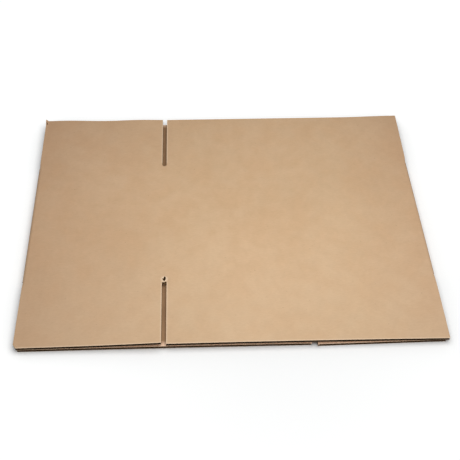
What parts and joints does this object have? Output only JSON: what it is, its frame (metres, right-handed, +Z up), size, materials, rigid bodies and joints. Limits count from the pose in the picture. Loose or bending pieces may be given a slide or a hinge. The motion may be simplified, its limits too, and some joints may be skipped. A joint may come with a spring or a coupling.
{
  "type": "flattened cardboard box",
  "caption": "Slotted single-wall corrugated shipping box, glued at one joint and knocked down flat, with open flutes along its front and back edges.",
  "frame": {"origin": "centre of the box's footprint, on the surface that it lies on", "axes": "+X from the left fold to the right fold, +Y from the front edge to the back edge, along the flutes, +Z up"},
  "size_m": [0.457, 0.327, 0.0114],
  "materials": {
    "kraft_board": "matte brown kraft liner with faint fibres"
  },
  "bodies": {
    "root": {"flattened_box": "kraft_board"}
  },
  "joints": []
}
